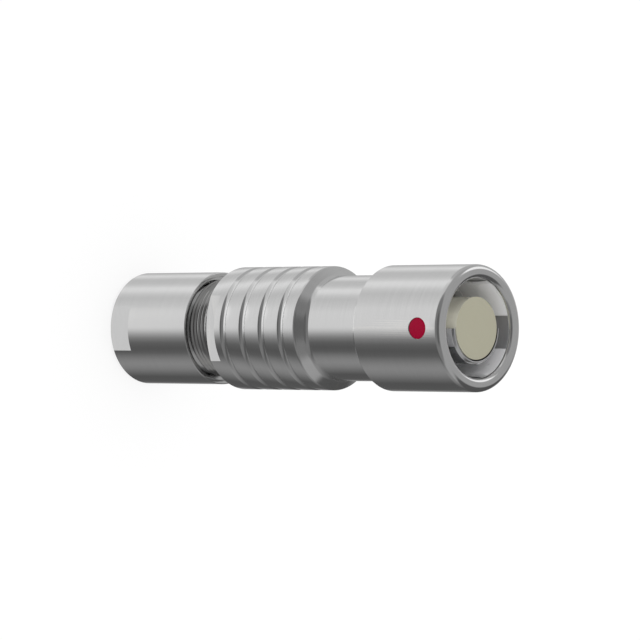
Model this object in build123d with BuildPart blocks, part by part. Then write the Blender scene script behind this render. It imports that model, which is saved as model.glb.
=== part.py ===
from build123d import *
import os

# Circular push-pull connector, socket half, for the end of a cable.
# The pieces lie round the Z axis. The cable enters at Z = 0 through the back nut,
# the mating plug enters from above, and -Y is the side with the alignment dot.
# Sizes are in millimetres. Walls and gaps are set from the insert outwards.

# Insert and the half-moon key around it
insert_diameter = 6.4
insert_clearance = 0.15
insert_recess = 0.5
face_skin = 0.6
key_wall = 0.35
key_bevel = 0.2
collar_rise = 0.6
collar_length = 1.6
collar_offset = 1.2
insert_hold_length = 5.3

# Contacts
outer_contact_count = 6
contact_circle_diameter = 3.9
contact_diameter = 0.84
contact_bore_diameter = 0.5
contact_bore_depth = 4.5
cup_diameter = 1.1
cup_bore_diameter = 0.76
cup_length = 2.2
cup_depth = 1.6
cup_window_length = 1.2

# Carrier made of two half-shells
carrier_wall = 1.1
carrier_tail = 0.7
carrier_bevel = 0.8
parting_gap = 0.04
locating_rib_width = 0.9
locating_rib_length = 0.8
seal_groove_offset = 3.5
carrier_seal_section = 0.56
carrier_seal_bevel = 0.12

# Nose of the outer shell
mating_gap = 1.375
nose_wall = 1.425
nose_length = 11.7
lip_round = 0.5
lead_in = 0.39
edge_bevel = 0.1
nose_back_slope = 0.5
web_thickness = 1.2
latch_groove_height = 2.6
latch_groove_width = 1.6
latch_groove_depth = 0.38
crown_groove_depth = 0.3
crown_front_land = 0.1
crown_rear_land = 0.9

# Alignment dot
dot_diameter = 2.3
dot_offset = 2.9
dot_pocket_depth = 0.25
dot_recess = 0.05

# Neck, shoulder and grip of the outer shell
neck_wall = 1.0
neck_length = 7.0
shoulder_length = 1.1
shoulder_edge_round = 0.15
shoulder_foot_round = 0.3
thread_step = 0.75
grip_wall = 1.25
grip_front_land = 1.85
groove_count = 4
groove_pitch = 2.73
groove_width = 0.9
groove_depth = 0.26
grip_rear_land = 1.25
body_flat_length = 2.1
flat_wall = 0.25
rear_land = 0.22
rear_chamfer_length = 0.7
thread_lead = 0.15

# Earthing crown
crown_sheet = 0.26
crown_band_length = 0.7
crown_bow = 0.08
crown_slot_count = 4
crown_slot_width = 3.4
crown_turn = -4.7
crown_split_width = 0.3

# Front seal
front_seal_section = 0.8
front_seal_bevel = 0.2

# Screen cone, cable seal and thrust washer
cone_flange = 0.6
cone_bore_diameter = 5.2
cone_tip_wall = 0.4
cable_seal_length = 3.4
cable_seal_bore_diameter = 5.4
cable_seal_bevel = 0.2
washer_thickness = 0.5
washer_bore_diameter = 6.0

# Collet
collet_length = 13.0
collet_bore_diameter = 5.5
collet_ring_length = 2.5
collet_jaw_length = 4.6
collet_taper_length = 2.0
collet_taper_rise = 0.8
collet_waist_wall = 0.8
collet_slot_count = 6
collet_slot_width = 0.6
collet_slot_start = 3.0
tooth_count = 3
tooth_pitch = 0.7
tooth_depth = 0.25

# Back nut
nut_head_length = 11.5
nut_shoulder = 0.75
nut_travel = 2.8
nut_flat_length = 3.1
nut_chamfer = 0.5
nut_edge_bevel = 0.08
relief_width = 0.35
relief_depth = 0.5
spigot_wall = 0.85
cable_bore_diameter = 6.6
cable_lead = 0.4

# Clearances
slide_fit = 0.05
seat_gap = 0.02
contact_fit = 0.02
dot_fit = 0.01
collet_fit = 0.1
spigot_end_gap = 0.2
taper_gap = 0.1

# Radii, from the insert outwards
insert_radius = insert_diameter / 2
key_inner_radius = insert_radius + insert_clearance
key_outer_radius = key_inner_radius + key_wall
web_radius = key_outer_radius + slide_fit
bore_radius = key_outer_radius + mating_gap
nose_radius = bore_radius + nose_wall
carrier_radius = key_inner_radius + carrier_wall
carrier_bore_radius = carrier_radius + slide_fit
neck_radius = carrier_bore_radius + neck_wall
thread_radius = carrier_bore_radius + thread_step
grip_radius = thread_radius + grip_wall
rear_land_radius = thread_radius + rear_land
flat_distance = thread_radius + flat_wall
nut_radius = thread_radius + nut_shoulder
spigot_radius = thread_radius - slide_fit
relief_radius = spigot_radius + relief_width
spigot_bore_radius = spigot_radius - spigot_wall
collet_radius = spigot_bore_radius - collet_fit

# Heights, from the back nut to the lip
shell_rear = nut_head_length + nut_travel
grooves_end = shell_rear + body_flat_length + grip_rear_land
grip_front = grooves_end + (groove_count - 1) * groove_pitch + grip_front_land
shoulder_front = grip_front + shoulder_length
nose_rear = shoulder_front + neck_length
lip = nose_rear + nose_length
groove_heights = [grooves_end + i * groove_pitch for i in range(groove_count)]

# Heights inside, from the mating cavity down to the collet
insert_front = lip - insert_recess
cavity_floor = nose_rear + neck_wall
latch_bottom = cavity_floor + latch_groove_height
latch_top = latch_bottom + latch_groove_width
crown_bottom = latch_top + crown_rear_land
crown_top = lip - lead_in - crown_front_land
web_bottom = cavity_floor - web_thickness
carrier_top = web_bottom - seat_gap
collar_top = carrier_top - collar_offset
insert_rear = carrier_top - insert_hold_length
cup_rear = insert_rear - cup_length
carrier_rear = cup_rear - carrier_tail
cone_top = carrier_rear - seat_gap
cone_rear = cone_top - cone_flange
cable_seal_rear = cone_rear - seat_gap - cable_seal_length
washer_rear = cable_seal_rear - seat_gap - washer_thickness
thread_top = washer_rear
collet_top = washer_rear - nut_travel - seat_gap
collet_rear = collet_top - collet_length
spigot_top = thread_top - nut_travel - spigot_end_gap

# The collet stands in the nut's inner taper, and rises with the nut as it is screwed home
taper_ratio = collet_taper_length / collet_taper_rise
nut_taper_top = collet_rear + collet_taper_length - taper_gap
cable_bore_radius = cable_bore_diameter / 2
nut_taper_bottom = nut_taper_top - (spigot_bore_radius - cable_bore_radius) * taper_ratio

os.makedirs("parts", exist_ok=True)


def turn(points, corners=()):
    """Turn a closed outline of (radius, height) points, with chosen corners rounded."""
    with BuildSketch(Plane.XZ) as outline:
        with BuildLine():
            Polyline(*points, close=True)
        make_face()
        for radius, height, rounding in corners:
            corner = outline.vertices().sort_by_distance((radius, height, 0))[0]
            fillet(corner, rounding)
    revolve(outline.sketch, axis=Axis.Z)


def tube(inner, outer, bottom, top):
    """Turn a plain ring with square edges."""
    with BuildSketch(Plane.XY.offset(bottom)) as section:
        Circle(outer)
        Circle(inner, mode=Mode.SUBTRACT)
    extrude(section.sketch, amount=top - bottom)


def turn_groove(radius, bottom, top, depth, flank=0.0):
    """Cut a groove into a bore, its upper flank sloping back by flank."""
    with BuildSketch(Plane.XZ) as groove:
        with BuildLine():
            Polyline(
                (radius - seat_gap, bottom),
                (radius + depth, bottom),
                (radius + depth, top - flank),
                (radius - seat_gap, top),
                close=True,
            )
        make_face()
    revolve(groove.sketch, axis=Axis.Z, mode=Mode.SUBTRACT)


def cut_flats(radius, bottom, length):
    """Cut two wrench flats, one facing -Y and one facing +Y."""
    stock = radius - flat_distance + 1
    with BuildSketch(Plane.XY.offset(bottom)) as sides:
        with Locations((0, flat_distance + stock / 2), (0, -flat_distance - stock / 2)):
            Rectangle(2 * radius, stock)
    extrude(sides.sketch, amount=length, mode=Mode.SUBTRACT)


def seal_ring(section, inner, bottom, bevel):
    """Turn a rubber ring of square section with bevelled corners."""
    with BuildSketch(Plane.XZ) as square:
        with Locations((inner + section / 2, bottom + section / 2)):
            Rectangle(section, section)
        chamfer(square.vertices(), bevel)
    revolve(square.sketch, axis=Axis.Z)


# Outer shell: the outside and the bore are turned from one bar
with BuildPart() as outer_shell:
    turn(
        [
            (bore_radius, lip),
            (nose_radius, lip),
            (nose_radius, nose_rear + edge_bevel),
            (nose_radius - edge_bevel, nose_rear),
            (neck_radius, nose_rear - nose_back_slope),
            (neck_radius, shoulder_front),
            (grip_radius, grip_front),
            (grip_radius, shell_rear + rear_chamfer_length),
            (rear_land_radius, shell_rear),
            (thread_radius + thread_lead, shell_rear),
            (thread_radius, shell_rear + thread_lead),
            (thread_radius, thread_top),
            (carrier_bore_radius, thread_top),
            (carrier_bore_radius, web_bottom),
            (web_radius, web_bottom),
            (web_radius, cavity_floor),
            (bore_radius, cavity_floor),
        ],
        [
            (bore_radius, lip, lead_in),
            (nose_radius, lip, lip_round),
            (neck_radius, shoulder_front, shoulder_foot_round),
            (grip_radius, grip_front, shoulder_edge_round),
        ],
    )

    # Round-bottom grip grooves
    groove_round = (groove_width**2 / 4 + groove_depth**2) / (2 * groove_depth)
    with BuildSketch(Plane.XZ):
        with Locations(*[(grip_radius - groove_depth + groove_round, z) for z in groove_heights]):
            Circle(groove_round)
    revolve(axis=Axis.Z, mode=Mode.SUBTRACT)

    # Latch groove for the plug's fingers, and the groove that holds the crown
    turn_groove(bore_radius, latch_bottom, latch_top, latch_groove_depth, latch_groove_depth)
    turn_groove(bore_radius, crown_bottom, crown_top, crown_groove_depth)

    cut_flats(grip_radius, shell_rear, body_flat_length)

    # Round pocket for the alignment dot
    with BuildSketch(Plane.XZ.offset(nose_radius - dot_pocket_depth)):
        with Locations((0, lip - dot_offset)):
            Circle(dot_diameter / 2)
    extrude(amount=2 * dot_pocket_depth, mode=Mode.SUBTRACT)

    # Rib under the web that keeps the half-moon key in line with the dot
    with BuildSketch(Plane.XY.offset(web_bottom)):
        rib_end = carrier_bore_radius + neck_wall / 2
        with Locations(((web_radius + rib_end) / 2, 0)):
            Rectangle(rib_end - web_radius, locating_rib_width)
    extrude(amount=-locating_rib_length)
outer_shell.part.label = "outer_shell"
export_step(outer_shell.part, "parts/outer_shell.step")


# Alignment dot: enamel that fills the pocket to just under the surface
with BuildPart() as alignment_dot:
    with BuildSketch(Plane.XZ.offset(nose_radius - dot_pocket_depth + dot_fit)):
        with Locations((0, lip - dot_offset)):
            Circle(dot_diameter / 2 - dot_fit)
    extrude(amount=dot_pocket_depth)
    with BuildSketch(Plane.XY.offset(lip - dot_offset - dot_diameter)):
        Circle(nose_radius - dot_recess)
    extrude(amount=2 * dot_diameter, mode=Mode.INTERSECT)
alignment_dot.part.label = "alignment_dot"
export_step(alignment_dot.part, "parts/alignment_dot.step")


# Insert: the insulator, with a collar that the carrier holds and blind contact holes
contact_places = PolarLocations(contact_circle_diameter / 2, outer_contact_count)
contact_radius = contact_diameter / 2
contact_front = insert_front - face_skin
with BuildPart() as insert:
    with BuildSketch(Plane.XY.offset(insert_rear)):
        Circle(insert_radius)
    extrude(amount=insert_front - insert_rear)
    with BuildSketch(Plane.XY.offset(collar_top)):
        Circle(insert_radius + collar_rise)
    extrude(amount=-collar_length)
    with BuildSketch(Plane.XY.offset(insert_rear)):
        with contact_places:
            Circle(contact_radius + contact_fit)
        Circle(contact_radius + contact_fit)
    extrude(amount=contact_front - insert_rear, mode=Mode.SUBTRACT)
insert.part.label = "insert"
export_step(insert.part, "parts/insert.step")


def make_contact(x, y, label):
    """Turn one socket contact, whose solder cup seats behind the insert."""
    cup_top = insert_rear - seat_gap
    with BuildPart() as contact:
        with BuildSketch(Plane.XY.offset(cup_rear)):
            with Locations((x, y)):
                Circle(cup_diameter / 2)
        extrude(amount=cup_top - cup_rear)
        with BuildSketch(Plane.XY.offset(cup_top)):
            with Locations((x, y)):
                Circle(contact_radius)
        extrude(amount=contact_front - seat_gap - cup_top)

        # Socket for the pin
        with BuildSketch(Plane.XY.offset(contact_front)):
            with Locations((x, y)):
                Circle(contact_bore_diameter / 2)
        extrude(amount=-contact_bore_depth, mode=Mode.SUBTRACT)

        # Solder cup with its open side towards -Y
        with BuildSketch(Plane.XY.offset(cup_rear)):
            with Locations((x, y)):
                Circle(cup_bore_diameter / 2)
        extrude(amount=cup_depth, mode=Mode.SUBTRACT)
        with BuildSketch(Plane.XY.offset(cup_rear)):
            with Locations((x, y - cup_diameter / 2)):
                Rectangle(cup_bore_diameter, cup_diameter)
        extrude(amount=cup_window_length, mode=Mode.SUBTRACT)
    contact.part.label = label
    export_step(contact.part, "parts/" + label + ".step")


make_contact(0, 0, "contact_1")
for number, place in enumerate(contact_places.local_locations, start=2):
    make_contact(place.position.X, place.position.Y, "contact_" + str(number))


def carrier_outline(top_points):
    """List the half-shells' outline; top_points is the part of it above the collar groove."""
    groove_radius = insert_radius + collar_rise + slide_fit
    return [
        (key_inner_radius, carrier_rear + carrier_bevel),
        (key_inner_radius, collar_top - collar_length - seat_gap),
        (groove_radius, collar_top - collar_length - seat_gap),
        (groove_radius, collar_top + seat_gap),
        (key_inner_radius, collar_top + seat_gap),
        *top_points,
        (carrier_radius, carrier_top),
        (carrier_radius, carrier_rear),
        (key_inner_radius + carrier_bevel, carrier_rear),
    ]


def cut_seal_groove():
    """Cut the outer groove for the carrier seal."""
    groove_top = carrier_top - seal_groove_offset + carrier_seal_section + 2 * seat_gap
    groove_bottom = carrier_top - seal_groove_offset
    with BuildSketch(Plane.XY.offset(groove_bottom)) as ring:
        Circle(carrier_radius + slide_fit)
        Circle(carrier_radius - carrier_seal_section, mode=Mode.SUBTRACT)
    extrude(ring.sketch, amount=groove_top - groove_bottom, mode=Mode.SUBTRACT)


# Key half-shell: half of the carrier, whose front runs on as the half-moon key
with BuildPart() as key_half_shell:
    turn(
        carrier_outline(
            [
                (key_inner_radius, insert_front),
                (key_outer_radius - key_bevel, insert_front),
                (key_outer_radius, insert_front - key_bevel),
                (key_outer_radius, carrier_top),
            ]
        )
    )
    cut_seal_groove()
    split(bisect_by=Plane.YZ.offset(parting_gap / 2), keep=Keep.TOP)

    # Notch over the shell's locating rib
    with BuildSketch(Plane.XY.offset(carrier_top)):
        with Locations((web_radius + carrier_wall / 2 - slide_fit, 0)):
            Rectangle(carrier_wall, locating_rib_width + 2 * slide_fit)
    extrude(amount=-(locating_rib_length + slide_fit), mode=Mode.SUBTRACT)
key_half_shell.part.label = "key_half_shell"
export_step(key_half_shell.part, "parts/key_half_shell.step")


# Plain half-shell: the other half of the carrier, ending under the web
with BuildPart() as plain_half_shell:
    turn(carrier_outline([(key_inner_radius, carrier_top)]))
    cut_seal_groove()
    split(bisect_by=Plane.YZ.offset(-parting_gap / 2), keep=Keep.BOTTOM)
plain_half_shell.part.label = "plain_half_shell"
export_step(plain_half_shell.part, "parts/plain_half_shell.step")


# Carrier seal: ring in the groove of the two half-shells
with BuildPart() as carrier_seal:
    groove_floor = carrier_radius - carrier_seal_section
    ring_bottom = carrier_top - seal_groove_offset + seat_gap
    seal_ring(carrier_seal_section, groove_floor + seat_gap, ring_bottom, carrier_seal_bevel)
carrier_seal.part.label = "carrier_seal"
export_step(carrier_seal.part, "parts/carrier_seal.step")


# Front seal: ring in the corner of the mating cavity's floor
with BuildPart() as front_seal:
    ring_inner = bore_radius - front_seal_section - seat_gap
    seal_ring(front_seal_section, ring_inner, cavity_floor + seat_gap, front_seal_bevel)
front_seal.part.label = "front_seal"
export_step(front_seal.part, "parts/front_seal.step")


# Earthing crown: spring sleeve of four broad bowed fingers, split once so that it snaps into its groove
with BuildPart() as earthing_crown:
    band_radius = bore_radius + crown_groove_depth - seat_gap
    band_bottom = crown_bottom + seat_gap
    band_top = band_bottom + crown_band_length
    finger_top = crown_top - seat_gap
    crest = (band_top + finger_top) / 2
    turn(
        [
            (band_radius, band_bottom),
            (band_radius, band_top),
            (band_radius - crown_bow, crest),
            (band_radius, finger_top),
            (band_radius - crown_sheet, finger_top),
            (band_radius - crown_bow - crown_sheet, crest),
            (band_radius - crown_sheet, band_top),
            (band_radius - crown_sheet, band_bottom),
        ]
    )

    # Slots between the fingers, the first near +Y, and the split in the band below the one opposite
    with BuildSketch(Plane.XY.offset(band_top)):
        with PolarLocations(band_radius, crown_slot_count, start_angle=90 + crown_turn):
            Rectangle(4 * crown_sheet, crown_slot_width)
    extrude(amount=finger_top - band_top, mode=Mode.SUBTRACT)
    with BuildSketch(Plane.XY.offset(band_bottom)):
        with PolarLocations(band_radius, 1, start_angle=crown_turn - 90):
            Rectangle(4 * crown_sheet, crown_split_width)
    extrude(amount=crown_band_length, mode=Mode.SUBTRACT)
earthing_crown.part.label = "earthing_crown"
export_step(earthing_crown.part, "parts/earthing_crown.step")


# Screen cone: its nose reaches into the carrier's rear bevel and pins the cable's screen
with BuildPart() as screen_cone:
    cone_bore_radius = cone_bore_diameter / 2
    turn(
        [
            (cone_bore_radius, cone_rear),
            (carrier_radius, cone_rear),
            (carrier_radius, cone_top),
            (cone_bore_radius + cone_tip_wall + carrier_bevel - seat_gap, cone_top),
            (cone_bore_radius + cone_tip_wall, cone_top + carrier_bevel),
            (cone_bore_radius, cone_top + carrier_bevel),
        ]
    )
screen_cone.part.label = "screen_cone"
export_step(screen_cone.part, "parts/screen_cone.step")


# Cable seal: rubber bush with bevelled ends, squeezed round the cable
with BuildPart() as cable_seal:
    tube(cable_seal_bore_diameter / 2, carrier_radius, cable_seal_rear, cone_rear - seat_gap)
    chamfer(cable_seal.edges().filter_by(GeomType.CIRCLE), cable_seal_bevel)
cable_seal.part.label = "cable_seal"
export_step(cable_seal.part, "parts/cable_seal.step")


# Thrust washer: keeps the turning collet off the rubber
with BuildPart() as thrust_washer:
    tube(washer_bore_diameter / 2, carrier_radius, washer_rear, cable_seal_rear - seat_gap)
thrust_washer.part.label = "thrust_washer"
export_step(thrust_washer.part, "parts/thrust_washer.step")


# Collet: ring, thin waist and slotted jaws whose taper the nut closes on the cable
with BuildPart() as collet:
    collet_bore_radius = collet_bore_diameter / 2
    jaw_top = collet_rear + collet_jaw_length
    ring_bottom = collet_top - collet_ring_length
    turn(
        [
            (collet_bore_radius, collet_rear),
            (collet_radius - collet_taper_rise, collet_rear),
            (collet_radius, collet_rear + collet_taper_length),
            (collet_radius, jaw_top),
            (collet_bore_radius + collet_waist_wall, jaw_top + collet_taper_rise),
            (collet_bore_radius + collet_waist_wall, ring_bottom - collet_taper_rise),
            (collet_radius, ring_bottom),
            (collet_radius, collet_top),
            (collet_bore_radius, collet_top),
        ]
    )

    # Ring-shaped teeth inside the jaws
    for tooth in range(tooth_count):
        tooth_bottom = collet_rear + (tooth + 1) * tooth_pitch
        tooth_top = tooth_bottom + tooth_depth
        turn_groove(collet_bore_radius, tooth_bottom, tooth_top, tooth_depth, tooth_depth / 2)

    # Slots that part the jaws
    with BuildSketch(Plane.XY.offset(collet_rear)):
        with PolarLocations(collet_radius, collet_slot_count):
            Rectangle(2 * (collet_radius - collet_bore_radius) + 1, collet_slot_width)
    extrude(amount=collet_length - collet_slot_start, mode=Mode.SUBTRACT)
collet.part.label = "collet"
export_step(collet.part, "parts/collet.step")


# Back nut: wide head with flats, a relief, and the threaded spigot that screws into the shell
with BuildPart() as back_nut:
    turn(
        [
            (cable_bore_radius + cable_lead, 0),
            (nut_radius - nut_chamfer, 0),
            (nut_radius, nut_chamfer),
            (nut_radius, nut_head_length - nut_edge_bevel),
            (nut_radius - nut_edge_bevel, nut_head_length),
            (relief_radius, nut_head_length),
            (relief_radius, nut_head_length - relief_depth),
            (spigot_radius, nut_head_length - relief_depth),
            (spigot_radius, spigot_top - thread_lead),
            (spigot_radius - thread_lead, spigot_top),
            (spigot_bore_radius, spigot_top),
            (spigot_bore_radius, nut_taper_top),
            (cable_bore_radius, nut_taper_bottom),
            (cable_bore_radius, cable_lead),
        ]
    )
    cut_flats(nut_radius, 0, nut_flat_length)
back_nut.part.label = "back_nut"
export_step(back_nut.part, "parts/back_nut.step")
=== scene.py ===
import math

import bmesh
import bpy
from mathutils import Matrix, Vector


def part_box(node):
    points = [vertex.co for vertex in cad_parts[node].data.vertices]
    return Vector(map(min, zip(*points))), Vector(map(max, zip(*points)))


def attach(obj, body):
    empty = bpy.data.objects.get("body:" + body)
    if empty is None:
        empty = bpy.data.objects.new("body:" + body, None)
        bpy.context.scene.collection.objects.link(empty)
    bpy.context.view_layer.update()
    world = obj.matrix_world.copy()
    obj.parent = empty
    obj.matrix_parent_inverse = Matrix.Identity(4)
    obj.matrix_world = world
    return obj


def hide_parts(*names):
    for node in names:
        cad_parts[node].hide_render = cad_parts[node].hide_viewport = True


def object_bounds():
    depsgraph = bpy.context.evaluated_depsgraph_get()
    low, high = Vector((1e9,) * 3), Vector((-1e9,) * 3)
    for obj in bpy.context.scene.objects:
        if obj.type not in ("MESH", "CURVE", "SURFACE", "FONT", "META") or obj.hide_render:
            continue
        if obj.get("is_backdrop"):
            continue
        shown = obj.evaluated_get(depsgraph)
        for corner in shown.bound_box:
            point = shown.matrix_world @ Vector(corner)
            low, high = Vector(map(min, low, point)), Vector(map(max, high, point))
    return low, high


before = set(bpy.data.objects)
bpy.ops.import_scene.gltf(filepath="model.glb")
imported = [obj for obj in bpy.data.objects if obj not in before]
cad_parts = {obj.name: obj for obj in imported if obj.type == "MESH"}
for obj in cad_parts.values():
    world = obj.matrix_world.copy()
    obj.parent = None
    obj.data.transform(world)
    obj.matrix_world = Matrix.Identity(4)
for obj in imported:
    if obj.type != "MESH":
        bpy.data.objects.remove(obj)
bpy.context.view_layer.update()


# Outer shell. One brass piece: turned with its bore and grip grooves, milled flat on two
# sides for a wrench, then satin nickel and chrome plated. The nose takes the mating plug.
# Its bore is given a paler, less metallic finish than the outside, as painted light, and
# the groove behind the crown a darker one, as painted shade.
mm = 0.001
shell_low, shell_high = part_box("outer_shell")
lip = shell_high.z
shell_rear = shell_low.z
nose_radius = shell_high.x
nose_wall = 1.425 * mm
neck_step = 1.0 * mm
neck_wall = 1.0 * mm
grip_wall = 1.25 * mm
rear_land = 0.22 * mm
nose_length = 11.7 * mm
neck_length = 7.17 * mm
shoulder_length = 0.86 * mm
web_rise = 1.0 * mm
web_thickness = 1.2 * mm
web_radius = 3.75 * mm
bore_radius = nose_radius - nose_wall
neck_radius = nose_radius - neck_step
thread_radius = nose_radius - grip_wall
rear_land_radius = thread_radius + rear_land
nose_rear = lip - nose_length
shoulder_front = nose_rear - neck_length
grip_front = shoulder_front - shoulder_length
cavity_floor = nose_rear + web_rise
web_bottom = cavity_floor - web_thickness
carrier_bore = neck_radius - neck_wall
thread_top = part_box("thrust_washer")[0].z
lead_in = 0.45 * mm
lip_round = 0.55 * mm
shoulder_edge_round = 0.15 * mm
shoulder_foot_round = 0.3 * mm
nose_back_slope = 0.5 * mm
nose_bevel = (0.21 * mm, 0.28 * mm)
large_round = 0.1 * mm
fine_edge = 0.04 * mm
rear_chamfer = 0.7 * mm
thread_lead = 0.1 * mm
groove_width = 0.86 * mm
groove_depth = 0.155 * mm
groove_pitch = 2.73 * mm
groove_count = 4
groove_steps = 14
grip_front_land = 1.92 * mm
latch_groove_height = 2.6 * mm
latch_groove_width = 1.6 * mm
latch_groove_depth = 0.38 * mm
crown_rear_land = 0.9 * mm
crown_front_land = 0.49 * mm
crown_groove_depth = 0.3 * mm
flat_distance = 5.5 * mm
body_flat_length = 2.1 * mm
first_groove = grip_front - grip_front_land
latch_groove = cavity_floor + latch_groove_height
crown_groove = latch_groove + latch_groove_width + crown_rear_land
crown_groove_top = lip - crown_front_land
milling_reach = 10 * mm
spin_steps = 192
weld_distance = 0.0005 * mm
sharp_rounding_steps = 5
large_rounding_steps = 12


def as_object(name, shape):
    """Make an object at the origin from a bmesh."""
    mesh = bpy.data.meshes.new(name)
    shape.to_mesh(mesh)
    shape.free()
    piece = bpy.data.objects.new(name, mesh)
    bpy.context.collection.objects.link(piece)
    return piece


def turned(name, outline, open_at_axis=False):
    """Spin an outline of (radius, height, rounding) corners round Z."""
    shape = bmesh.new()
    corners = [shape.verts.new((radius, 0, height)) for radius, height, rounding in outline]
    ends = list(zip(corners, corners[1:] + corners[:1]))
    if open_at_axis:
        ends.pop()
    for start, end in ends:
        shape.edges.new((start, end))
    for corner, (radius, height, rounding) in zip(corners, outline):
        if rounding:
            segments = sharp_rounding_steps if rounding < large_round else large_rounding_steps
            bmesh.ops.bevel(shape, geom=[corner], offset=rounding, offset_type="OFFSET",
                            segments=segments, profile=0.5, affect="VERTICES", material=-1)
    bmesh.ops.spin(shape, geom=shape.verts[:] + shape.edges[:], cent=(0, 0, 0), axis=(0, 0, 1),
                   angle=math.tau, steps=spin_steps, use_merge=True)
    bmesh.ops.remove_doubles(shape, verts=shape.verts[:], dist=weld_distance)
    bmesh.ops.recalc_face_normals(shape, faces=shape.faces[:])
    return as_object(name, shape)


def block(low, high, turn=0):
    """Make a square-edged cutter between two corners, turned round Z."""
    shape = bmesh.new()
    size = Vector(high) - Vector(low)
    place = Matrix.Translation((Vector(low) + Vector(high)) / 2) @ Matrix.Diagonal((*size, 1))
    bmesh.ops.create_cube(shape, size=1, matrix=Matrix.Rotation(turn, 4, "Z") @ place)
    return as_object("cutter", shape)


def cut(piece, tool):
    """Take a cutter's space out of a piece for good."""
    modifier = piece.modifiers.new("cut", "BOOLEAN")
    modifier.operation = "DIFFERENCE"
    modifier.solver = "EXACT"
    modifier.object = tool
    graph = bpy.context.evaluated_depsgraph_get()
    piece.data = bpy.data.meshes.new_from_object(piece.evaluated_get(graph))
    piece.modifiers.clear()
    bpy.data.objects.remove(tool)


def mill_flats(piece, bottom, top):
    """Mill two wrench flats, facing -Y and +Y."""
    for side in (-1, 1):
        near, far = sorted((side * flat_distance, side * milling_reach))
        cut(piece, block((-milling_reach, near, bottom), (milling_reach, far, top)))


def smooth(piece, angle=20):
    """Shade smoothly, with large faces kept flat and edges sharp that turn by more than the angle."""
    piece.data.shade_smooth()
    piece.data.set_sharp_from_angle(angle=math.radians(angle))
    weighting = piece.modifiers.new("weighting", "WEIGHTED_NORMAL")
    weighting.mode = "FACE_AREA"
    weighting.keep_sharp = True


def groove_points(height):
    """List the corners and the round bottom of one grip groove, from its upper edge down."""
    radius = (groove_width ** 2 / 4 + groove_depth ** 2) / (2 * groove_depth)
    half = math.asin(groove_width / 2 / radius)
    centre = nose_radius - groove_depth + radius
    points = []
    for step in range(groove_steps + 1):
        angle = half * (1 - 2 * step / groove_steps)
        rounding = 0.5 * fine_edge if step in (0, groove_steps) else 0
        points.append((centre - radius * math.cos(angle), height + radius * math.sin(angle), rounding))
    return points


shell = turned("shell_turned", [
    (bore_radius, lip, lead_in),
    (nose_radius, lip, lip_round),
    (nose_radius, nose_rear + nose_bevel[1], 0),
    (nose_radius - nose_bevel[0], nose_rear, 0),
    (neck_radius, nose_rear - nose_back_slope, fine_edge),
    (neck_radius, shoulder_front, shoulder_foot_round),
    (nose_radius, grip_front, shoulder_edge_round),
    *[point for n in range(groove_count) for point in groove_points(first_groove - n * groove_pitch)],
    (nose_radius, shell_rear + rear_chamfer, fine_edge),
    (rear_land_radius, shell_rear, fine_edge),
    (thread_radius + thread_lead, shell_rear, 0),
    (thread_radius, shell_rear + thread_lead, 0),
    (thread_radius, thread_top, 0),
    (carrier_bore, thread_top, 0),
    (carrier_bore, web_bottom, 0),
    (web_radius, web_bottom, fine_edge),
    (web_radius, cavity_floor, fine_edge),
    (bore_radius, cavity_floor, 0),
    (bore_radius, latch_groove, fine_edge),
    (bore_radius + latch_groove_depth, latch_groove, 0),
    (bore_radius + latch_groove_depth, latch_groove + latch_groove_width - latch_groove_depth, 0),
    (bore_radius, latch_groove + latch_groove_width, fine_edge),
    (bore_radius, crown_groove, fine_edge),
    (bore_radius + crown_groove_depth, crown_groove, 0),
    (bore_radius + crown_groove_depth, crown_groove_top, 0),
    (bore_radius, crown_groove_top, 0),
])
mill_flats(shell, shell_rear - mm, shell_rear + body_flat_length)


def node_group(name, inputs, outputs):
    """Start a shader node group and return it with its nodes, links, input and output nodes."""
    group = bpy.data.node_groups.new(name, "ShaderNodeTree")
    for label, kind, value in inputs:
        socket = group.interface.new_socket(label, in_out="INPUT", socket_type=kind)
        if value is not None:
            socket.default_value = value
    for label, kind in outputs:
        group.interface.new_socket(label, in_out="OUTPUT", socket_type=kind)
    return group, group.nodes.new("NodeGroupInput"), group.nodes.new("NodeGroupOutput")


def join(tree, kind, settings=None, values=None, links=None):
    """Add a node to a tree, set its properties and values, and link its inputs."""
    node = tree.nodes.new(kind)
    for label, value in (settings or {}).items():
        setattr(node, label, value)
    for socket, value in (values or {}).items():
        node.inputs[socket].default_value = value
    for socket, source in (links or {}).items():
        tree.links.new(source, node.inputs[socket])
    return node


def maths(tree, operation, first, second=None, clamp=False):
    """Add a Math node whose two values are numbers or other nodes' outputs."""
    values, links = {}, {}
    for socket, value in enumerate((first, second)):
        if isinstance(value, (int, float)):
            values[socket] = value
        elif value is not None:
            links[socket] = value
    settings = {"operation": operation, "use_clamp": clamp}
    return join(tree, "ShaderNodeMath", settings, values, links).outputs[0]


# Lathe marks: fine rings round Z, on cylinders and on faces alike
value_in, value_out = "NodeSocketFloat", "NodeSocketFloat"
lathe_marks, marks_in, marks_out = node_group(
    "lathe_marks",
    [("Rings per metre", value_in, 9000.0), ("Unevenness", value_in, 0.6)],
    [("Height", value_out), ("Tone", value_out)],
)
place = join(lathe_marks, "ShaderNodeTexCoord")
split = join(lathe_marks, "ShaderNodeSeparateXYZ", links={0: place.outputs["Object"]})
across = join(lathe_marks, "ShaderNodeCombineXYZ", links={0: split.outputs[0], 1: split.outputs[1]})
radius = join(lathe_marks, "ShaderNodeVectorMath", {"operation": "LENGTH"}, links={0: across.outputs[0]})
outward = join(lathe_marks, "ShaderNodeVectorMath", {"operation": "NORMALIZE"}, links={0: across.outputs[0]})
run = maths(lathe_marks, "ADD", radius.outputs["Value"], split.outputs[2])
rings = maths(lathe_marks, "MULTIPLY", run, marks_in.outputs["Rings per metre"])
upward = join(lathe_marks, "ShaderNodeCombineXYZ", links={2: rings})
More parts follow.
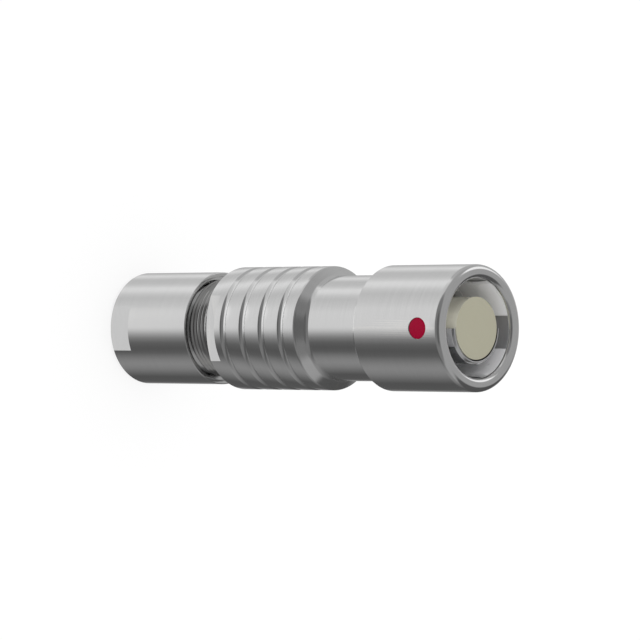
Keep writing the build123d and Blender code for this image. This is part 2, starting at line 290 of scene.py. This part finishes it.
along = join(lathe_marks, "ShaderNodeVectorMath", {"operation": "ADD"},
             links={0: outward.outputs[0], 1: upward.outputs[0]})
streaks = join(lathe_marks, "ShaderNodeTexNoise", values={"Scale": 1.0, "Detail": 4.0},
               links={"Vector": along.outputs[0], "Roughness": marks_in.outputs["Unevenness"]})
lathe_marks.links.new(streaks.outputs["Fac"], marks_out.inputs["Height"])
tone = join(lathe_marks, "ShaderNodeMapRange", values={"From Min": 0.35, "From Max": 0.65},
            links={"Value": streaks.outputs["Fac"]})
lathe_marks.links.new(tone.outputs["Result"], marks_out.inputs["Tone"])

# Grain: the fine tooth of a plated, moulded or baked surface, and slow cloudy patches
surface_grain, grain_in, grain_out = node_group(
    "surface_grain",
    [("Grains per metre", value_in, 40000.0), ("Patches per metre", value_in, 400.0)],
    [("Height", value_out), ("Patches", value_out)],
)
place = join(surface_grain, "ShaderNodeTexCoord")
fine = join(surface_grain, "ShaderNodeTexNoise", values={"Detail": 3.0, "Roughness": 0.6},
            links={"Vector": place.outputs["Object"], "Scale": grain_in.outputs["Grains per metre"]})
slow = join(surface_grain, "ShaderNodeTexNoise", values={"Detail": 4.0, "Roughness": 0.55},
            links={"Vector": place.outputs["Object"], "Scale": grain_in.outputs["Patches per metre"]})
patches = join(surface_grain, "ShaderNodeMapRange", values={"From Min": 0.3, "From Max": 0.7},
               links={"Value": slow.outputs["Fac"]})
surface_grain.links.new(fine.outputs["Fac"], grain_out.inputs["Height"])
surface_grain.links.new(patches.outputs["Result"], grain_out.inputs["Patches"])

# Edge wear: a broken mask on outer edges, where hands and tools polish the finish
edge_wear, wear_in, wear_out = node_group(
    "edge_wear",
    [("Start", value_in, 0.53), ("Full", value_in, 0.62), ("Breaks per metre", value_in, 2500.0)],
    [("Mask", value_out)],
)
place = join(edge_wear, "ShaderNodeTexCoord")
shape_info = join(edge_wear, "ShaderNodeNewGeometry")
edges = join(edge_wear, "ShaderNodeMapRange", links={
    "Value": shape_info.outputs["Pointiness"],
    "From Min": wear_in.outputs["Start"],
    "From Max": wear_in.outputs["Full"],
})
breaks = join(edge_wear, "ShaderNodeTexNoise", values={"Detail": 3.0, "Roughness": 0.6},
              links={"Vector": place.outputs["Object"], "Scale": wear_in.outputs["Breaks per metre"]})
worn = maths(edge_wear, "MULTIPLY", edges.outputs["Result"], breaks.outputs["Fac"], clamp=True)
edge_wear.links.new(worn, wear_out.inputs["Mask"])


def new_material(name):
    """Start a node material with a Principled shader and return it with both."""
    material = bpy.data.materials.new(name)
    material.use_nodes = True
    tree = material.node_tree
    tree.nodes.clear()
    shader = tree.nodes.new("ShaderNodeBsdfPrincipled")
    output = tree.nodes.new("ShaderNodeOutputMaterial")
    tree.links.new(shader.outputs["BSDF"], output.inputs["Surface"])
    return material, tree, shader


def use(tree, group, **values):
    """Place a node group, with its own values by input name."""
    node = join(tree, "ShaderNodeGroup", {"node_tree": group})
    for label, value in values.items():
        node.inputs[label.replace("_", " ")].default_value = value
    return node


def blend(tree, share, low, high):
    """Mix two colours by a share and return the result."""
    mix = join(tree, "ShaderNodeMix", {"data_type": "RGBA"}, links={"Factor": share})
    for socket, colour in ((mix.inputs[6], low), (mix.inputs[7], high)):
        if isinstance(colour, tuple):
            socket.default_value = (*colour, 1)
        else:
            tree.links.new(colour, socket)
    return mix.outputs[2]


def between(tree, share, low, high):
    """Map a share from 0 to 1 onto two values."""
    node = join(tree, "ShaderNodeMapRange", values={"To Min": low, "To Max": high}, links={"Value": share})
    return node.outputs["Result"]


def bumpy(tree, shader, heights, distance):
    """Feed the shader a normal that several (height, strength) pairs have dented in turn."""
    normal = None
    for height, strength in heights:
        bump = join(tree, "ShaderNodeBump", values={"Strength": strength, "Distance": distance},
                    links={"Height": height})
        if normal:
            tree.links.new(normal, bump.inputs["Normal"])
        normal = bump.outputs["Normal"]
    tree.links.new(normal, shader.inputs["Normal"])


def plating(name, colour, dark, worn_colour, roughness, metallic=1.0, marks=0.03):
    """Make a plated, turned metal finish."""
    material, tree, shader = new_material(name)
    turning = use(tree, lathe_marks)
    grain = use(tree, surface_grain)
    wear = use(tree, edge_wear)
    toned = blend(tree, turning.outputs["Tone"], dark, colour)
    clouded = blend(tree, between(tree, grain.outputs["Patches"], 0.0, 0.25), toned, dark)
    tree.links.new(blend(tree, wear.outputs["Mask"], clouded, worn_colour), shader.inputs["Base Color"])
    shader.inputs["Metallic"].default_value = metallic
    low, high = roughness
    rough = maths(tree, "ADD", between(tree, grain.outputs["Patches"], low, high),
                  between(tree, turning.outputs["Tone"], 0.0, 0.25 * (high - low)))
    polished = maths(tree, "MULTIPLY", rough, between(tree, wear.outputs["Mask"], 1.0, 0.7))
    tree.links.new(polished, shader.inputs["Roughness"])
    dents = [(turning.outputs["Height"], marks), (grain.outputs["Height"], 0.5 * marks)]
    bumpy(tree, shader, dents, 0.01 * mm)
    return material


satin_plating = plating("satin_plating", (0.83, 0.83, 0.83), (0.79, 0.79, 0.79), (0.9, 0.89, 0.87),
                        (0.1, 0.14))
# Painted light: the bore's finish is paler and far less metallic than the outside, so the deep mouth looks
# lit
bore_painted_light_plating = plating("bore_painted_light_plating", (0.92, 0.92, 0.93), (0.88, 0.88, 0.89), (0.94, 0.93, 0.92),
                       (0.2, 0.26), metallic=0.2)
# Painted shade: the groove behind the crown gets a dark, half-metallic finish for the shade seen through the
# crown's slots
groove_painted_shade_plating = plating("groove_painted_shade_plating", (0.5, 0.5, 0.51), (0.44, 0.44, 0.45), (0.6, 0.59, 0.57),
                         (0.3, 0.36), metallic=0.5)
for finish in (satin_plating, bore_painted_light_plating, groove_painted_shade_plating):
    shell.data.materials.append(finish)
for face in shell.data.polygons:
    inward = face.normal.x * face.center.x + face.normal.y * face.center.y < -0.1 * face.center.xy.length
    if inward and cavity_floor < face.center.z < lip - lead_in:
        in_groove = face.center.z > crown_groove and face.center.xy.length > bore_radius + fine_edge
        face.material_index = 2 if in_groove else 1
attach(shell, "shell")
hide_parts("outer_shell")


# Alignment dot. Red enamel in a shallow round pocket on the nose, wiped level and baked,
# so that it lies just under the metal, with a thin bright rim round it.
dot_radius = 1.1 * mm
dot_offset = 2.9 * mm
dot_height = lip - dot_offset
pocket_depth = 0.22 * mm
dot_gap = 0.01 * mm
dot_sunk = 0.05 * mm
dot_rim = 0.85
rim_sag = 0.6
rim_bevel = 0.06 * mm
ring_widths = (0.04 * mm, 0.06 * mm, 0.1 * mm, 0.2 * mm, 0.25 * mm, 0.25 * mm)


def radial_plug(name, inner, outer, start, end):
    """Make a round plug, its two ends of different radius, that points out of the nose towards -Y."""
    plug = bmesh.new()
    turn = Matrix.Translation((0, -(start + end) / 2, dot_height)) @ Matrix.Rotation(math.pi / 2, 4, "X")
    bmesh.ops.create_cone(plug, cap_ends=True, segments=96, radius1=inner, radius2=outer,
                          depth=end - start, matrix=turn)
    return as_object(name, plug)


pocket_floor = nose_radius - pocket_depth
cut(shell, radial_plug("cutter", dot_radius, dot_radius, pocket_floor, nose_radius + mm))
cut(shell, radial_plug("cutter", dot_radius - rim_bevel, dot_radius + 3 * rim_bevel,
                       nose_radius - 2 * rim_bevel, nose_radius + 2 * rim_bevel))
smooth(shell)
enamel_radius = dot_radius - dot_gap
dot = radial_plug("alignment_enamel", enamel_radius, enamel_radius, pocket_floor + dot_gap, nose_radius)
shape = bmesh.new()
shape.from_mesh(dot.data)
front = [f for f in shape.faces if f.normal.y < -0.9]
for width in ring_widths:
    bmesh.ops.inset_region(shape, faces=front, thickness=width, depth=0)
bmesh.ops.poke(shape, faces=front)
for vert in shape.verts:
    if vert.co.y < -(nose_radius - 0.5 * pocket_depth):
        share = math.hypot(vert.co.x, vert.co.z - dot_height) / dot_radius
        sunk = dot_sunk * (1 + rim_sag * max(0, share - dot_rim) / (1 - dot_rim))
        vert.co.y = -math.sqrt((nose_radius - sunk) ** 2 - vert.co.x ** 2)
shape.to_mesh(dot.data)
shape.free()
smooth(dot, 40)
red_enamel, tree, shader = new_material("red_enamel")
grain = use(tree, surface_grain, Grains_per_metre=9000.0, Patches_per_metre=900.0)
red = blend(tree, grain.outputs["Patches"], (0.285, 0.0, 0.024), (0.255, 0.0, 0.02))
tree.links.new(red, shader.inputs["Base Color"])
tree.links.new(between(tree, grain.outputs["Patches"], 0.16, 0.24), shader.inputs["Roughness"])
shader.inputs["Specular IOR Level"].default_value = 0.1
bumpy(tree, shader, [(grain.outputs["Height"], 0.05)], 0.02 * mm)
dot.data.materials.append(red_enamel)
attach(dot, "shell")
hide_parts("alignment_dot")


# Insert. The insulator, turned from beige high-temperature plastic, with a plain face,
# a collar that the two half-shells hold, and blind holes for the contacts from the rear.
insert_low, insert_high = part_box("insert")
insert_radius = 3.2 * mm
collar_radius = insert_high.x
collar_depth = 1.22 * mm
collar_length = 1.6 * mm
collar_top = web_bottom - collar_depth
collar_rear = collar_top - collar_length
hole_radius = 0.44 * mm
face_skin = 0.6 * mm
hole_top = insert_high.z - face_skin
contact_count = 7
insulator = turned("insulator", [
    (0, insert_high.z, 0),
    (insert_radius, insert_high.z, fine_edge),
    (insert_radius, collar_top, fine_edge),
    (collar_radius, collar_top, fine_edge),
    (collar_radius, collar_rear, fine_edge),
    (insert_radius, collar_rear, fine_edge),
    (insert_radius, insert_low.z, fine_edge),
    (0, insert_low.z, 0),
], open_at_axis=True)
drills = bmesh.new()
for number in range(contact_count):
    low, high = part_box("contact_%d" % (number + 1))
    middle = Vector(((low.x + high.x) / 2, (low.y + high.y) / 2, (insert_low.z + hole_top) / 2 - mm))
    bmesh.ops.create_cone(drills, cap_ends=True, segments=32, radius1=hole_radius, radius2=hole_radius,
                          depth=hole_top - insert_low.z + 2 * mm, matrix=Matrix.Translation(middle))
cut(insulator, as_object("cutter", drills))
smooth(insulator, 30)
beige_plastic, tree, shader = new_material("beige_plastic")
turning = use(tree, lathe_marks, Rings_per_metre=6000.0)
grain = use(tree, surface_grain, Grains_per_metre=25000.0, Patches_per_metre=500.0)
toned = blend(tree, turning.outputs["Tone"], (0.325, 0.314, 0.238), (0.34, 0.328, 0.249))
clouded = blend(tree, grain.outputs["Patches"], toned, (0.328, 0.315, 0.236))
tree.links.new(clouded, shader.inputs["Base Color"])
tree.links.new(between(tree, grain.outputs["Patches"], 0.36, 0.46), shader.inputs["Roughness"])
shader.inputs["Specular IOR Level"].default_value = 0.4
bumpy(tree, shader, [(turning.outputs["Height"], 0.06), (grain.outputs["Height"], 0.08)], 0.01 * mm)
insulator.data.materials.append(beige_plastic)
# Painted light: the insert's sides get a paler, half-metallic copy of the beige, a painted sheen and
# reflection, while the face keeps the plain plastic
beige_painted_sheen = plating("beige_painted_sheen", (0.88, 0.86, 0.73), (0.84, 0.82, 0.7), (0.9, 0.88, 0.76),
                       (0.16, 0.22), metallic=0.4)
insulator.data.materials.append(beige_painted_sheen)
for face in insulator.data.polygons:
    if abs(face.normal.z) < 0.5:
        face.material_index = 1
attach(insulator, "shell")
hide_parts("insert")


# Half-shells. The turned and plated carrier round the insert, sawn in two. One half runs
# on to the insert's face as a thin half-round wall: it lets the plug in one way only.
key_low, key_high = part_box("key_half_shell")
key_inner = 3.35 * mm
key_outer = 3.7 * mm
key_bevel = 0.2 * mm
carrier_radius = key_high.x
carrier_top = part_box("plain_half_shell")[1].z
carrier_bevel = 0.8 * mm
half_gap = 0.02 * mm
collar_seat = collar_radius + 0.05 * mm
key = turned("half_moon_key", [
    (key_inner, key_high.z, 0.5 * fine_edge),
    (key_outer - key_bevel, key_high.z, 0.5 * fine_edge),
    (key_outer, key_high.z - key_bevel, 0.5 * fine_edge),
    (key_outer, carrier_top, 0),
    (carrier_radius, carrier_top, fine_edge),
    (carrier_radius, key_low.z, fine_edge),
    (key_inner + carrier_bevel, key_low.z, 0),
    (key_inner, key_low.z + carrier_bevel, 0),
    (key_inner, collar_rear - half_gap, 0),
    (collar_seat, collar_rear - half_gap, 0),
    (collar_seat, collar_top + half_gap, 0),
    (key_inner, collar_top + half_gap, 0),
])
shape = bmesh.new()
shape.from_mesh(key.data)
halved = bmesh.ops.bisect_plane(shape, geom=shape.verts[:] + shape.edges[:] + shape.faces[:],
                                plane_co=(half_gap, 0, 0), plane_no=(-1, 0, 0), clear_outer=True)
rim = [e for e in halved["geom_cut"] if isinstance(e, bmesh.types.BMEdge)]
bmesh.ops.edgenet_fill(shape, edges=rim)
bmesh.ops.recalc_face_normals(shape, faces=shape.faces[:])
shape.to_mesh(key.data)
shape.free()
smooth(key)
key_plating = plating("key_plating", (0.8, 0.8, 0.81), (0.75, 0.75, 0.76), (0.88, 0.87, 0.85),
                      (0.06, 0.1))
key.data.materials.append(key_plating)
# Painted shade: the key's inner wall, above the carrier, gets a near-black plating for the shade between the
# key and the insert
painted_shade_plating = plating("painted_shade_plating", (0.12, 0.12, 0.12), (0.08, 0.08, 0.08), (0.2, 0.2, 0.2),
                         (0.4, 0.5))
key.data.materials.append(painted_shade_plating)
for face in key.data.polygons:
    if face.center.z > carrier_top and face.center.xy.length < key_inner + 0.2 * fine_edge:
        face.material_index = 1
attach(key, "shell")
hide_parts("key_half_shell")


def dress(material, *nodes):
    """Give carried-over CAD nodes a finish."""
    for node in nodes:
        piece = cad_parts[node]
        piece.data.materials.clear()
        piece.data.materials.append(material)


dress(key_plating, "plain_half_shell")


# Contacts. Seven turned brass sockets with solder cups, gold plated all over, pressed
# into the insert from the rear.
gold_plating = plating("gold_plating", (0.9, 0.66, 0.3), (0.82, 0.58, 0.24), (0.93, 0.72, 0.4),
                       (0.16, 0.24))
dress(gold_plating, *["contact_%d" % (number + 1) for number in range(contact_count)])


# Earthing crown. A sleeve of springy bronze sheet: three slots part the bowed fingers that
# grip the plug. It is split once in its band, plated and snapped into a groove of the bore.
# Its finish is pale and barely metallic, painted light that keeps the deep sleeve bright.
crown_low, crown_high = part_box("earthing_crown")
crown_radius = crown_high.x
crown_sheet = 0.26 * mm
crown_bow = 0.08 * mm
bow_steps = 12
crown_band = 0.7 * mm
band_top = crown_low.z + crown_band
crown_slots = ((85.3, 3.4 * mm), (189.0, 6.0 * mm), (345.3, 6.1 * mm))
crown_split = 0.3 * mm
bow = []
for step in range(bow_steps + 1):
    share = step / bow_steps
    height = band_top + share * (crown_high.z - band_top)
    bow.append((crown_bow * math.sin(math.pi * share) ** 2, height))
crown = turned("crown_sleeve", [
    *[(crown_radius - sunk, height, 0) for sunk, height in reversed(bow)],
    (crown_radius, crown_low.z, fine_edge),
    (crown_radius - crown_sheet, crown_low.z, fine_edge),
    *[(crown_radius - crown_sheet - sunk, height, 0) for sunk, height in bow],
])
for degrees, width in crown_slots:
    near = (0, -width / 2, band_top)
    far = (crown_radius + mm, width / 2, crown_high.z + mm)
    cut(crown, block(near, far, turn=math.radians(degrees)))
near = (crown_radius - mm, -crown_split / 2, crown_low.z - mm)
far = (crown_radius + mm, crown_split / 2, band_top + 0.1 * mm)
cut(crown, block(near, far, turn=math.radians(crown_slots[1][0])))
smooth(crown)
# Painted light: a pale, barely metallic finish keeps the deep sleeve bright
crown_painted_light_plating = plating("crown_painted_light_plating", (0.93, 0.93, 0.94), (0.89, 0.89, 0.9), (0.95, 0.94, 0.93),
                        (0.26, 0.34), metallic=0.1)
crown.data.materials.append(crown_painted_light_plating)
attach(crown, "shell")
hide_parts("earthing_crown")


# Screen cone and thrust washer. The cone is turned brass and pins the cable's screen; the
# washer is punched from sheet and keeps the turning collet off the rubber. Both are plated.
inner_plating = plating("inner_plating", (0.8, 0.79, 0.76), (0.72, 0.71, 0.68), (0.88, 0.86, 0.8),
                        (0.18, 0.28))
dress(inner_plating, "screen_cone", "thrust_washer")


# Seals. Two moulded rubber rings and the thick rubber bush that is squeezed round the
# cable, all in black silicone rubber.
black_rubber, tree, shader = new_material("black_rubber")
grain = use(tree, surface_grain, Grains_per_metre=15000.0, Patches_per_metre=700.0)
dust = use(tree, edge_wear, Start=0.5, Full=0.62)
rubber = blend(tree, grain.outputs["Patches"], (0.018, 0.018, 0.019), (0.03, 0.03, 0.031))
tree.links.new(blend(tree, dust.outputs["Mask"], rubber, (0.07, 0.07, 0.072)), shader.inputs["Base Color"])
tree.links.new(between(tree, grain.outputs["Patches"], 0.5, 0.7), shader.inputs["Roughness"])
bumpy(tree, shader, [(grain.outputs["Height"], 0.25)], 0.02 * mm)
dress(black_rubber, "carrier_seal", "front_seal", "cable_seal")


# Collet. Turned brass, plated: a ring, a thin waist and six jaws with teeth inside, whose
# taper the back nut closes on the cable. Saw cuts from the rear part the jaws.
collet_low, collet_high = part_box("collet")
collet_radius = collet_high.x
collet_bore = 2.75 * mm
collet_taper = (0.8 * mm, 2.0 * mm)
jaw_length = 4.6 * mm
waist_wall = 0.8 * mm
ring_length = 2.5 * mm
slot_start = 3.0 * mm
jaw_top = collet_low.z + jaw_length
waist_radius = collet_bore + waist_wall
ring_bottom = collet_high.z - ring_length
slot_top = collet_high.z - slot_start
tooth_count = 3
tooth_pitch = 0.7 * mm
tooth_depth = 0.25 * mm
slot_width = 0.6 * mm
slot_count = 6
teeth = []
for number in range(tooth_count):
    foot = collet_low.z + (number + 1) * tooth_pitch
    teeth = [
        (collet_bore, foot + tooth_depth, 0),
        (collet_bore + tooth_depth, foot + 0.5 * tooth_depth, 0),
        (collet_bore + tooth_depth, foot, 0),
        (collet_bore, foot, 0),
    ] + teeth
collet = turned("collet_jaws", [
    (collet_bore, collet_high.z, fine_edge),
    (collet_radius, collet_high.z, fine_edge),
    (collet_radius, ring_bottom, fine_edge),
    (waist_radius, ring_bottom - collet_taper[0], 0),
    (waist_radius, jaw_top + collet_taper[0], 0),
    (collet_radius, jaw_top, fine_edge),
    (collet_radius, collet_low.z + collet_taper[1], fine_edge),
    (collet_radius - collet_taper[0], collet_low.z, fine_edge),
    (collet_bore, collet_low.z, fine_edge),
    *reversed(teeth),
])
for number in range(slot_count):
    near = (collet_bore - mm, -slot_width / 2, collet_low.z - mm)
    far = (collet_radius + mm, slot_width / 2, slot_top)
    cut(collet, block(near, far, turn=math.tau * number / slot_count))
smooth(collet)
collet.data.materials.append(inner_plating)
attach(collet, "collet")
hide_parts("collet")


# Back nut. Turned brass, plated like the shell: a wide head with two flats at the rear,
# and a spigot with a fine thread that screws into the shell. A relief parts the two.
nut_low, nut_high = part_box("back_nut")
nut_head = 11.6 * mm
nut_front = nut_low.z + nut_head
nut_radius = nut_high.x
nut_flat_length = 3.1 * mm
nut_chamfer = 0.5 * mm
nut_edge = 0.08 * mm
thread_play = 0.05 * mm
spigot_wall = 0.85 * mm
relief_width = 0.35 * mm
relief_depth = 0.5 * mm
cable_bore = 3.3 * mm
cable_lead = 0.4 * mm
taper_gap = 0.1 * mm
thread_pitch = 0.5 * mm
thread_depth = 0.27 * mm
spigot_radius = thread_radius - thread_play
spigot_bore = spigot_radius - spigot_wall
relief_radius = spigot_radius + relief_width
relief_floor = nut_front - relief_depth
taper_slope = collet_taper[1] / collet_taper[0]
taper_top = collet_low.z + collet_taper[1] - taper_gap
taper_bottom = taper_top - taper_slope * (spigot_bore - cable_bore)
thread_core = spigot_radius - thread_depth
nut = turned("nut_turned", [
    (cable_bore + cable_lead, nut_low.z, fine_edge),
    (nut_radius - nut_chamfer, nut_low.z, fine_edge),
    (nut_radius, nut_low.z + nut_chamfer, fine_edge),
    (nut_radius, nut_front, nut_edge),
    (relief_radius, nut_front, 0.5 * fine_edge),
    (relief_radius, relief_floor, 0),
    (thread_core, relief_floor, 0),
    (thread_core, nut_high.z, fine_edge),
    (spigot_bore, nut_high.z, fine_edge),
    (spigot_bore, taper_top, 0),
    (cable_bore, taper_bottom, 0),
    (cable_bore, nut_low.z + cable_lead, fine_edge),
])
mill_flats(nut, nut_low.z - mm, nut_low.z + nut_flat_length)

# The thread is one ridge, wound up the spigot, which fades in and out over a quarter turn
ridge = bmesh.new()
half_root = 0.235 * mm
half_crest = 0.035 * mm
ridge_sunk = 0.03 * mm
ridge_gap = 0.02 * mm
ridge_foot = thread_core - ridge_sunk
ridge_start = relief_floor + half_root + ridge_gap
fade_turns = 0.25
crest_margin = 0.01 * mm
turn_steps = 96
turns = int((nut_high.z - half_root - ridge_start) / thread_pitch)
section = [ridge.verts.new((radius, 0, ridge_start + height)) for radius, height in (
    (ridge_foot, -half_root),
    (thread_core, -half_root),
    (spigot_radius, -half_crest),
    (spigot_radius, half_crest),
    (thread_core, half_root),
    (ridge_foot, half_root),
)]
bmesh.ops.spin(ridge, geom=[ridge.faces.new(section)], cent=(0, 0, 0), axis=(0, 0, 1),
               dvec=(0, 0, thread_pitch / turn_steps), angle=math.tau * turns, steps=turns * turn_steps)
bmesh.ops.recalc_face_normals(ridge, faces=ridge.faces[:])
last = ridge_start + turns * thread_pitch
for vert in ridge.verts:
    radius = vert.co.xy.length
    if radius > thread_core + crest_margin:
        near_end = min(vert.co.z - ridge_start + half_crest, last + half_crest - vert.co.z) / thread_pitch
        share = min(1, max(0, near_end) / fade_turns)
        vert.co.xy *= (thread_core + share * (radius - thread_core)) / radius
thread = as_object("nut_thread", ridge)
smooth(nut)
smooth(thread, 35)
# Painted shade: the thread gets a darker plating than the nut, for the shade between its flanks
thread_painted_shade_plating = plating("thread_painted_shade_plating", (0.5, 0.5, 0.5), (0.44, 0.44, 0.44), (0.6, 0.59, 0.57),
                         (0.05, 0.08))
nut.data.materials.append(satin_plating)
thread.data.materials.append(thread_painted_shade_plating)
for piece in (nut, thread):
    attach(piece, "nut")
    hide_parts("back_nut")


# Floor. A plain white studio floor that keeps a soft shadow. The metal looks through it
# to the dark and light walls of the room, as it does in a light tent without a base.
shape = bmesh.new()
bmesh.ops.create_grid(shape, x_segments=1, y_segments=1, size=3)
floor = as_object("studio_floor", shape)
floor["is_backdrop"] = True
own_glow = 0.8
floor_paint = bpy.data.materials.new("floor_paint")
floor_paint.use_nodes = True
tree = floor_paint.node_tree
tree.nodes.clear()
seen = join(tree, "ShaderNodeLightPath")
glow = join(tree, "ShaderNodeEmission", values={"Color": (1, 1, 1, 1), "Strength": 1.0})
matt = join(tree, "ShaderNodeBsdfDiffuse", values={"Color": (0.95, 0.95, 0.95, 1)})
clear = join(tree, "ShaderNodeBsdfTransparent")
soft = join(tree, "ShaderNodeMixShader", values={0: own_glow},
            links={1: matt.outputs[0], 2: glow.outputs[0]})
to_eye = join(tree, "ShaderNodeMixShader",
              links={0: seen.outputs["Is Camera Ray"], 1: matt.outputs[0], 2: soft.outputs[0]})
to_metal = join(tree, "ShaderNodeMixShader",
                links={0: seen.outputs["Is Glossy Ray"], 1: to_eye.outputs[0], 2: clear.outputs[0]})
join(tree, "ShaderNodeOutputMaterial", links={"Surface": to_metal.outputs[0]})
floor.data.materials.append(floor_paint)


# Room. White to the eye and even to plastic; the metal sees long soft lights and dark
# panels round it, a dark place where the viewer stands, and a dark base below.
room = bpy.data.worlds.new("studio_room")
bpy.context.scene.world = room
room.use_nodes = True
tree = room.node_tree
tree.nodes.clear()
direction = join(tree, "ShaderNodeTexCoord").outputs["Generated"]
split = join(tree, "ShaderNodeSeparateXYZ", links={0: direction})
left = maths(tree, "MULTIPLY", split.outputs["X"], -1)
front = maths(tree, "MULTIPLY", split.outputs["Y"], -1)
turn = maths(tree, "ARCTAN2", left, front)
turn_share = maths(tree, "ADD", maths(tree, "DIVIDE", turn, math.tau), 0.5)
walls = join(tree, "ShaderNodeValToRGB", links={"Fac": turn_share})
levels = [
    (-180, 0.45), (-150, 0.10), (-120, 0.095), (-106, 0.16), (-92, 0.24), (-80, 0.275), (-70, 0.25),
    (-60, 0.185), (-52, 0.12), (-42, 0.10), (-30, 0.13), (-20, 0.23), (-12, 0.40), (-4, 0.62), (2, 0.73),
    (36, 0.73), (48, 0.66), (66, 0.59), (76, 0.67), (84, 0.80), (92, 0.83), (100, 0.68), (108, 0.60),
    (122, 0.57), (138, 0.80), (150, 0.62), (162, 0.45), (180, 0.45),
]
stops = walls.color_ramp.elements
stops.remove(stops[1])
for number, (degrees, level) in enumerate(levels):
    place = (degrees + 180) / 360
    stop = stops.new(place) if number else stops[0]
    stop.position = place
    stop.color = (level, level, level, 1)


def toward(way, low, high):
    """Give a share that grows smoothly as a ray nears a way, between two cosines."""
    cosine = join(tree, "ShaderNodeVectorMath", {"operation": "DOT_PRODUCT"}, {1: way}, {0: direction})
    node = join(tree, "ShaderNodeMapRange", {"interpolation_type": "SMOOTHSTEP"},
                {"From Min": low, "From Max": high}, {"Value": cosine.outputs["Value"]})
    return node.outputs["Result"]


up, front_low, front_high = (0, 0, 1), (0, -0.927, 0.375), (0, -0.829, 0.559)
left_back, right_back = (-0.707, 0.707, 0), (0.596, 0.71, 0.375)
shoulder_spot, nose_edge_spot, base = (-0.433, 0.75, 0.5), (-0.22, -0.37, -0.9), (0, 0.08, -0.997)
above_base, over_left = toward(up, -0.65, -0.45), toward(left_back, 0.6, 0.7)
panels = [
    (maths(tree, "MULTIPLY", above_base, over_left), 0.45),
    (toward(up, 0.05, 0.6), 0.36),
    (toward(front_low, 0.47, 0.67), 0.2),
    (toward(front_high, 0.87, 0.94), 0.115),
    (toward(up, 0.85, 0.95), 0.36),
    (toward(shoulder_spot, 0.945, 0.975), 1.0),
    (toward(right_back, 0.82, 0.9), 0.085),
    (toward(nose_edge_spot, 0.94, 0.965), 1.0),
    (toward(base, 0.92, 0.95), 0.1),
]
shown = walls.outputs["Color"]
for share, level in panels:
    shown = blend(tree, share, shown, (level, level, level))
seen = join(tree, "ShaderNodeLightPath")
to_metal = join(tree, "ShaderNodeBackground", links={"Color": shown})
white = join(tree, "ShaderNodeBackground", values={"Color": (1, 1, 1, 1), "Strength": 1.0})
by_gloss = join(tree, "ShaderNodeMixShader",
                links={0: seen.outputs["Is Glossy Ray"], 1: white.outputs[0], 2: to_metal.outputs[0]})
straight = maths(tree, "MAXIMUM", seen.outputs["Is Camera Ray"], seen.outputs["Is Transmission Ray"])
by_eye = join(tree, "ShaderNodeMixShader", links={0: straight, 1: by_gloss.outputs[0], 2: white.outputs[0]})
join(tree, "ShaderNodeOutputWorld", links={"Surface": by_eye.outputs[0]})


# Key lamp. A large, weak and soft lamp straight over the mouth, which gives the plastic and
# the floor their gentle light and shade. The metal doesn't mirror it.
lamp_data = bpy.data.lights.new("soft_key", "AREA")
lamp_data.shape = "DISK"
lamp_data.size = 1.0
lamp_data.energy = 1.0
lamp = bpy.data.objects.new("soft_key", lamp_data)
bpy.context.collection.objects.link(lamp)
lamp.location = (0, 0, 0.5)
lamp.visible_glossy = False


# Camera. A long lens that looks past the lip into the mouth, and is turned on its side, so
# that the standing connector lies across the picture with its dot in front.
picture = 640
tilt = math.radians(42.24)
focal_pixels = 4058
distance = 410.74 * mm
sideways = 16.233 * mm
rise = 8.25
sight = Vector((0, math.cos(tilt), -math.sin(tilt)))
right = Vector((0, math.sin(tilt), math.cos(tilt)))
camera_data = bpy.data.cameras.new("camera")
camera_data.sensor_width = 36
camera_data.lens = focal_pixels * camera_data.sensor_width / picture
camera_data.shift_y = rise / picture
camera_data.clip_start = 0.01
camera_data.clip_end = 10
camera = bpy.data.objects.new("camera", camera_data)
bpy.context.collection.objects.link(camera)
camera.location = Vector((0, 0, lip)) - sideways * right - distance * sight
camera.rotation_mode = "QUATERNION"
camera.rotation_quaternion = Matrix((right, Vector((-1, 0, 0)), -sight)).transposed().to_quaternion()
bpy.context.scene.camera = camera
bpy.context.scene.view_settings.view_transform = "Standard"


low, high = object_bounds()
